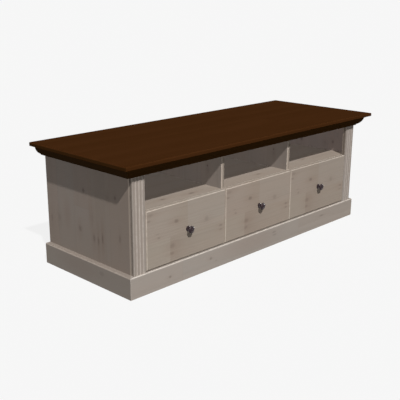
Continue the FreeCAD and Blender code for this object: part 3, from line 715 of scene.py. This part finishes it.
# %% [markdown]
# Stained and bare wood show the same figure: a slow change between two colours, darker rings and fine
# paler fibres. So one helper lays the three over each other, and a wood is a short list of colours
# and shares. The whitewash is not made this way, because there the rings fade in and out under the
# wash.

# %% Figure of uncovered wood
def figure(bench, grain, first, second, cloud_range, ring, ring_share, fibre, fibre_range):
    """Colour of a board without wash, from its clouds, rings and fibres."""
    colour = bench.tint(bench.ramp(grain["Cloud"], *cloud_range), first, second)
    colour = bench.tint(bench.math("MULTIPLY", grain["Rings"], ring_share), colour, ring)
    return bench.tint(bench.ramp(grain["Fibre"], *fibre_range), colour, fibre)


print("figure of uncovered wood ready")

# %% [markdown]
# The top and the cornice are stained nearly black-brown. Stain soaks into the soft wood and leaves
# hardly any figure, and a matt lacquer closes it, so there is hardly any sheen. A plain dark colour
# would come near, but close up the rings, fibres and paler edges tell that it is wood. The top's left
# and right faces and the cornice's ends are painted darker, as painted shade.

# %% Dark stained pine
STAIN = {"first": (0.0468, 0.0168, 0.0049), "second": (0.0504, 0.0182, 0.0056),
         "cloud_range": (0.3, 0.75), "ring": (0.026, 0.0085, 0.0018), "ring_share": 0.12,
         "fibre": (0.070, 0.026, 0.006), "fibre_range": (0.35, 0.8, 0.0, 0.14)}
STAIN_WORN = (0.09, 0.04, 0.015)
STAIN_WORN_SHARE = 0.15
STAIN_ROUGHNESS = (0.2, 0.8, 0.52, 0.66)
STAIN_RING_SINK = 0.5


def stain(name, run, tone):
    material, bench, shader = new_finish(name, specular=0.0)
    board = board_coordinates(bench, run)
    glued = bench.effect(panel_staves, Board=board, Width=0.13, Length=1.9, Seed=4.0)
    grain = bench.effect(pine_grain, Board=glued["Board"], Stave=glued["Stave"])
    wear_and_highlight = bench.effect(edge_wear_and_highlight, Reach=0.002, Sides=1.0)
    colour = figure(bench, grain, **STAIN)
    colour = bench.tint(bench.math("MULTIPLY", wear_and_highlight["Edge"], STAIN_WORN_SHARE), colour, STAIN_WORN)
    colour = bench.tint(1.0, colour, tone(bench, board), "MULTIPLY")
    roughness = bench.ramp(grain["Fibre"], *STAIN_ROUGHNESS)
    sunk = bench.math("MULTIPLY", grain["Rings"], STAIN_RING_SINK)
    raised = bench.math("SUBTRACT", grain["Fibre"], sunk)
    close_finish(bench, shader, colour, roughness, raised, relief=0.0004)
    return material


# The darker left and right faces of the top and the darker, cooler cornice ends are painted shade.
dress(stain("stain_top", "flat", two_sided((0.66, 0.77, 0.77))), "top_board")
dress(stain("stain_cornice_front", "along", even((0.99, 1.24, 1.15))), "cornice_front")
dress(stain("stain_cornice_side_shaded", "deep", even((0.555, 0.78, 1.05))), "cornice_left", "cornice_right")
print("dark top and cornice done")

# %% [markdown]
# Behind the fronts nobody pays for a finish: the drawer boxes, battens and bearers are planed pine
# under clear lacquer, warmer and with plainer rings than the washed boards. They use the same grain
# and staves with other colours, so an open drawer still looks cut from the same tree.

# %% Plain pine
PINE = {"first": (0.60, 0.42, 0.235), "second": (0.50, 0.31, 0.15), "cloud_range": (0.25, 0.8),
        "ring": (0.36, 0.18, 0.07), "ring_share": 0.5,
        "fibre": (0.68, 0.52, 0.33), "fibre_range": (0.4, 0.8, 0.0, 0.2)}
PINE_ROUGHNESS = (0.2, 0.8, 0.42, 0.58)


def plain(name, run):
    material, bench, shader = new_finish(name, specular=0.35)
    board = board_coordinates(bench, run)
    glued = bench.effect(panel_staves, Board=board, Width=0.16, Length=2.0, Seed=9.0)
    grain = bench.effect(pine_grain, Board=glued["Board"], Stave=glued["Stave"])
    roughness = bench.ramp(grain["Fibre"], *PINE_ROUGHNESS)
    colour = figure(bench, grain, **PINE)
    close_finish(bench, shader, colour, roughness, grain["Fibre"], relief=0.0004)
    return material


plain_deep = plain("plain_deep", "deep")
plain_along = plain("plain_along", "along")
dress(plain_deep, "bearer_left", "bearer_right", "runner_batten_left", "runner_batten_right")
dress(plain_along, "plinth_rear")
for drawer in DRAWERS:
    dress(plain_deep, f"{drawer}_drawer_side_left", f"{drawer}_drawer_side_right")
    dress(plain_along, f"{drawer}_drawer_back")
print("plain pine done")

# %% [markdown]
# The back is nailed to the edges of the boards in front of it. The nails are driven flush, because
# the back lies at the very rear, so there is no head to model, and the finish draws them. The effect
# repeats a round spot along a line, and the back chains one line for each board that it is nailed to.

# %% A row of nails
NAIL_SPACING = 0.098
NAIL_RADIUS = 0.0026
NAIL_EDGE = (NAIL_RADIUS * 1.15, NAIL_RADIUS * 0.85)

nail_row, bench, given, result = new_effect(
    "nail_row", {"Along": "Float", "Aside": "Float", "Nails": "Float"}, {"Nails": "Float"})
cell = bench.math("FRACT", bench.math("DIVIDE", given["Along"], NAIL_SPACING))
along = bench.math("MULTIPLY", bench.math("SUBTRACT", cell, 0.5), NAIL_SPACING)
head = bench.ramp(bench.reach(along, given["Aside"]), *NAIL_EDGE)
bench.feed(result["Nails"], bench.math("MAXIMUM", given["Nails"], head))
print("effect", nail_row.name, "with", len(nail_row.nodes), "nodes")

# %% [markdown]
# The drawer bottoms and the back are thin board, with fainter rings than solid pine and no staves.
# One recipe serves both. It hands its bench back with the finished material, because the back goes on
# changing it.

# %% Thin board
THIN = {"first": (0.46, 0.34, 0.21), "second": (0.39, 0.27, 0.16), "cloud_range": (0.25, 0.8),
        "ring": (0.27, 0.165, 0.085), "ring_share": 0.12,
        "fibre": (0.56, 0.44, 0.30), "fibre_range": (0.4, 0.8, 0.0, 0.15)}
THIN_ROUGHNESS = (0.2, 0.8, 0.62, 0.78)


def thin_board(name, run):
    """Bare thin board; returns what the back still needs to change."""
    material, bench, shader = new_finish(name, specular=0.2)
    grain = bench.effect(pine_grain, Board=board_coordinates(bench, run), Stave=0.4)
    colour = figure(bench, grain, **THIN)
    roughness = bench.ramp(grain["Fibre"], *THIN_ROUGHNESS)
    close_finish(bench, shader, colour, roughness, grain["Fibre"], relief=0.0003)
    return material, bench, shader, grain, colour


bottom_board = thin_board("bottom_board", "flat")[0]
dress(bottom_board, *[f"{drawer}_drawer_bottom" for drawer in DRAWERS])
print("drawer bottoms done")

# %% [markdown]
# The back has two faces. Towards the compartments it is washed like the boards around it, and outside
# it is bare, with nails along the shelf, the floor and the top, and up the sides and dividers. Two
# meshes could carry the two finishes, but one board is one piece, so the normal decides which colour
# shows.

# %% Back
NAIL_STEEL = (0.20, 0.19, 0.18)
NAILED_LEVELS = (0.077, 0.313, 0.494)
NAILED_UPRIGHTS = (0.2157, 0.692)
BACK_HUE = (0.3, 0.7)
BACK_RING_SHARE = 0.1
LOOKS_FORWARD = (-0.3, -0.7)

back_board, bench, shader, grain, bare = thin_board("back_board", "along")
place = bench.split(bench.node("ShaderNodeTexCoord").outputs["Object"])
nails = 0.0
for level in NAILED_LEVELS:
    aside = bench.math("SUBTRACT", place["Z"], level)
    nails = bench.effect(nail_row, Along=place["X"], Aside=aside, Nails=nails)["Nails"]
for upright in NAILED_UPRIGHTS:
    aside = bench.math("SUBTRACT", bench.math("ABSOLUTE", place["X"]), upright)
    nails = bench.effect(nail_row, Along=place["Z"], Aside=aside, Nails=nails)["Nails"]
nailed = bench.tint(nails, bare, NAIL_STEEL)
washed = bench.tint(bench.ramp(grain["Cloud"], *BACK_HUE), WASH_WARM, WASH_COOL)
washed = bench.tint(bench.math("MULTIPLY", grain["Rings"], BACK_RING_SHARE), washed, LATE_WOOD)
facing = bench.split(bench.node("ShaderNodeNewGeometry").outputs["Normal"])["Y"]
bench.feed(shader.inputs["Base Color"], bench.tint(bench.ramp(facing, *LOOKS_FORWARD), nailed, washed))
dress(back_board, "back_panel")
print("back with", len(NAILED_LEVELS) + 2 * len(NAILED_UPRIGHTS), "rows of nails")

# %% [markdown]
# The knobs are cast iron, darkened, with the dark coat rubbed through on the rims. The runners are
# coated steel with white nylon rollers, and the screws are zinc-plated. All four are one recipe: a
# fine speckle that changes colour, roughness and height together, and wear along the edges. Only zinc
# is a bare metal, so only its shader is fully metallic; a coat or a plastic has a colour of its own.

# %% Fittings
SPECKLE_RANGE = (0.3, 0.75)
SPECKLE_SHADE = 0.7
FITTING_WORN_SHARE = 0.6
UNEVEN_RANGE = (0.2, 0.8)
SMOOTHER, ROUGHER = 0.8, 1.25


def fitting(name, base, bright, roughness, metallic, speckle, specular=0.5):
    material, bench, shader = new_finish(name, specular, metallic)
    where = bench.node("ShaderNodeTexCoord").outputs["Object"]
    mottled = bench.noise(where, (speckle, speckle, speckle), detail=4.0)
    wear_and_highlight = bench.effect(edge_wear_and_highlight, Reach=0.0012, Sides=1.0)
    shaded = [value * SPECKLE_SHADE for value in base]
    colour = bench.tint(bench.ramp(mottled, *SPECKLE_RANGE), base, shaded)
    colour = bench.tint(bench.math("MULTIPLY", wear_and_highlight["Edge"], FITTING_WORN_SHARE), colour, bright)
    uneven = bench.ramp(mottled, *UNEVEN_RANGE, roughness * SMOOTHER, roughness * ROUGHER)
    close_finish(bench, shader, colour, uneven, mottled, relief=0.0002)
    return material


iron = fitting("antique_iron", base=(0.0240, 0.0125, 0.0150), bright=(0.090, 0.062, 0.066),
               roughness=0.42, metallic=0.3, speckle=420.0, specular=0.3)
coat = fitting("coated_steel", base=(0.74, 0.73, 0.70), bright=(0.55, 0.54, 0.52),
               roughness=0.45, metallic=0.0, speckle=900.0)
nylon = fitting("white_nylon", base=(0.78, 0.78, 0.74), bright=(0.70, 0.69, 0.64),
                roughness=0.5, metallic=0.0, speckle=700.0)
zinc = fitting("zinc_steel", base=(0.56, 0.56, 0.55), bright=(0.72, 0.72, 0.70),
               roughness=0.32, metallic=1.0, speckle=800.0)
for drawer in DRAWERS:
    dress(iron, f"{drawer}_knob")
    dress(zinc, f"{drawer}_knob_screw")
    dress(coat, f"{drawer}_drawer_rails", f"{drawer}_cabinet_rails")
    dress(nylon, f"{drawer}_fixed_rollers", f"{drawer}_riding_rollers")
print("fittings done")

# %% [markdown]
# The rails under the drawers are held by pan-head screws, which show as soon as a drawer is open. A
# head could be a cylinder with a cross cut out by a boolean, but that leaves long thin faces. Here it
# is a disc of rings: the rings rise to a low dome, and the points that fall inside a cross are pushed
# down, which makes the recess for the driver.

# %% Form of a screw head
HEAD_RADIUS = 0.0030
HEAD_HEIGHT = 0.0013
HEAD_RINGS = (0.0004, 0.0008, 0.0012, 0.0016, 0.0017, 0.0022, 0.0027, 0.0030)
HEAD_POINTS = 32
DOME_FALL, DOME_POWER = 0.75, 1.5
CROSS_LENGTH = 0.00165
CROSS_HALF = 0.00034
CROSS_DEPTH = 0.0007


def head_height(x, y):
    """Height of the head over the rail: a low dome with a cross pressed into it."""
    outward = (x * x + y * y) / HEAD_RADIUS ** 2
    dome = HEAD_HEIGHT * (1.0 - DOME_FALL * outward ** DOME_POWER)
    near, far = sorted((abs(x), abs(y)))
    return dome - CROSS_DEPTH if near < CROSS_HALF and far < CROSS_LENGTH else dome


def add_screw_head(mesh, placing):
    """Adds one head, whose foot lies in the XY plane of the placing."""
    turns = [2.0 * math.pi * step / HEAD_POINTS for step in range(HEAD_POINTS)]
    rings = []
    for radius in HEAD_RINGS:
        points = [(radius * math.cos(turn), radius * math.sin(turn)) for turn in turns]
        rings.append([mesh.verts.new(placing @ Vector((x, y, head_height(x, y)))) for x, y in points])
    rings.append([mesh.verts.new(placing @ Vector((x, y, 0.0))) for x, y in points])
    middle = mesh.verts.new(placing @ Vector((0.0, 0.0, head_height(0.0, 0.0))))
    for step in range(HEAD_POINTS):
        after = (step + 1) % HEAD_POINTS
        mesh.faces.new((middle, rings[0][step], rings[0][after]))
        for inner, outer in zip(rings, rings[1:]):
            mesh.faces.new((inner[step], outer[step], outer[after], inner[after]))
    mesh.faces.new(reversed(rings[-1]))


print("a screw head has", HEAD_POINTS * (len(HEAD_RINGS) + 1) + 1, "points")

# %% [markdown]
# Each drawer has three screws in each of its two rails. The rails are folded sheet, so a head sits
# one gauge outside the drawer's side. All six heads of one drawer are one mesh that rides on that
# drawer: eighteen objects would only be harder to handle. Each head is turned by its own angle, as
# hands leave them.

# %% Screws of the drawer rails
RAIL_GAUGE = 0.0012
SCREW_RISE = 0.0032
SCREW_PLACES = (0.06, 0.20, 0.37)
TURN_STEP = 0.7

for drawer in DRAWERS:
    mesh = bmesh.new()
    for hand, toward in (("left", -1.0), ("right", 1.0)):
        low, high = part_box(f"{drawer}_drawer_side_{hand}")
        face = (low if hand == "left" else high)[0] + toward * RAIL_GAUGE
        outward = Vector((toward, 0.0, 0.0)).to_track_quat("Z", "Y").to_matrix().to_4x4()
        for number, along in enumerate(SCREW_PLACES):
            spot = Matrix.Translation((face, low[1] + along, low[2] + SCREW_RISE))
            add_screw_head(mesh, spot @ outward @ Matrix.Rotation(TURN_STEP * number + toward, 4, "Z"))
    name = f"{drawer}_rail_screws"
    data = bpy.data.meshes.new(name)
    mesh.to_mesh(data)
    mesh.free()
    data.materials.append(zinc)
    screws = bpy.data.objects.new(name, data)
    bpy.context.scene.collection.objects.link(screws)
    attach(screws, f"{drawer}_drawer")
print(2 * len(SCREW_PLACES), "screw heads on each drawer")

# %% [markdown]
# The studio needs few shaders: plain greys that are mixed by a share. What matters is who looks. The
# Light Path node tells rays of the camera, and mirrored ones, from light that wanders, so a floor can
# look pale and still throw little back on the wood. Dimming the lamps instead would darken the whole
# picture.

# %% Plain shaders for the studio
def plain_shader(bench, kind, level):
    item = bench.node(kind)
    item.inputs["Color"].default_value = (level, level, level, 1.0)
    return item.outputs[0]


def mixed(bench, share, first, second):
    return bench.filled(bench.node("ShaderNodeMixShader"), (share, first, second))[0]


def seen_directly(bench):
    """1 for rays from the camera and for reflections and glass, 0 for light that wanders."""
    path = bench.node("ShaderNodeLightPath").outputs
    mirrored = bench.math("MAXIMUM", path["Is Glossy Ray"], path["Is Transmission Ray"])
    return bench.math("MAXIMUM", path["Is Camera Ray"], mirrored)


print("studio shaders ready")

# %% [markdown]
# The object stands on a pale floor that runs out of sight. For the camera the floor is mostly its own
# colour, so it matches the background and the shadow on it stays faint. For light that wanders it is
# a dim grey. A curved backdrop would need careful light to look as even.

# %% Floor
FLOOR_HALF = 150.0
FLOOR_CORNERS = ((-1, -1), (1, -1), (1, 1), (-1, 1))
FLOOR_GLOW = 0.923
FLOOR_MATT = 0.9
FLOOR_BOUNCE = 0.10
SHADOW_SHARE = 0.085

floor_mesh = bpy.data.meshes.new("floor")
spread = [(x * FLOOR_HALF, y * FLOOR_HALF, 0.0) for x, y in FLOOR_CORNERS]
floor_mesh.from_pydata(spread, [], [(0, 1, 2, 3)])
floor = bpy.data.objects.new("floor", floor_mesh)
bpy.context.scene.collection.objects.link(floor)

floor_paint = bpy.data.materials.new("floor_paint")
floor_paint.use_nodes = True
floor_mesh.materials.append(floor_paint)
bench = Bench(floor_paint.node_tree)
bench.tree.nodes.clear()
glow = plain_shader(bench, "ShaderNodeEmission", FLOOR_GLOW)
shadowed = plain_shader(bench, "ShaderNodeBsdfDiffuse", FLOOR_MATT)
dim = plain_shader(bench, "ShaderNodeBsdfDiffuse", FLOOR_BOUNCE)
pale = mixed(bench, SHADOW_SHARE, glow, shadowed)
painted = mixed(bench, seen_directly(bench), dim, pale)
bench.feed(bench.node("ShaderNodeOutputMaterial").inputs["Surface"], painted)
print("floor of", 2 * FLOOR_HALF, "metres")

# %% [markdown]
# Behind the floor's edge lies the world. The camera sees it in the same pale grey as the floor, and
# the object is lit by it only faintly: a bright world would light the compartments as much as the
# fronts, and their depth would be lost.

# %% Background
BACKDROP = 0.922
SURROUND = 0.08

world = bpy.data.worlds.new("studio")
bpy.context.scene.world = world
world.use_nodes = True
bench = Bench(world.node_tree)
surround = plain_shader(bench, "ShaderNodeBackground", SURROUND)
backdrop = plain_shader(bench, "ShaderNodeBackground", BACKDROP)
sky = mixed(bench, seen_directly(bench), surround, backdrop)
bench.feed(world.node_tree.nodes["World Output"].inputs["Surface"], sky)
print("background", BACKDROP, "for the camera,", SURROUND, "for the object")

# %% [markdown]
# One key light from the upper left in front throws the shadow of the cornice. What a white room
# throws into every nook would take many bounces to trace, so most of it comes from weak lamps without
# shadows. Four stand at the corners of a tetrahedron, so that every upright and level face is lit by
# two of them, and a fifth comes from the right, to lift the faces that look away from the key.

# %% Lamps
KEY_TRAVEL = (0.50, 1.00, -1.15)
KEY_STRENGTH = 3.594
KEY_ANGLE = math.radians(1.2)
ROOM_LAMPS = (((1, 1, -1), 0.56), ((-1, -1, -1), 0.26), ((1, -1, 1), 1.15), ((-1, 1, 1), 0.40),
              ((-1, 0, 0), 0.77))
ROOM_ANGLE = math.radians(4.0)


def add_sun(name, travel, strength, angle, shadow):
    lamp = bpy.data.objects.new(name, bpy.data.lights.new(name, "SUN"))
    lamp.rotation_euler = Vector(travel).to_track_quat("-Z", "Y").to_euler()
    lamp.data.energy = strength
    lamp.data.angle = angle
    lamp.data.use_shadow = shadow
    bpy.context.scene.collection.objects.link(lamp)


add_sun("key", KEY_TRAVEL, KEY_STRENGTH, KEY_ANGLE, True)
for number, (travel, strength) in enumerate(ROOM_LAMPS):
    add_sun(f"room_{number}", travel, strength, ROOM_ANGLE, False)
bpy.context.scene.view_settings.view_transform = "Standard"
print("a key light and", len(ROOM_LAMPS), "lamps for the room")
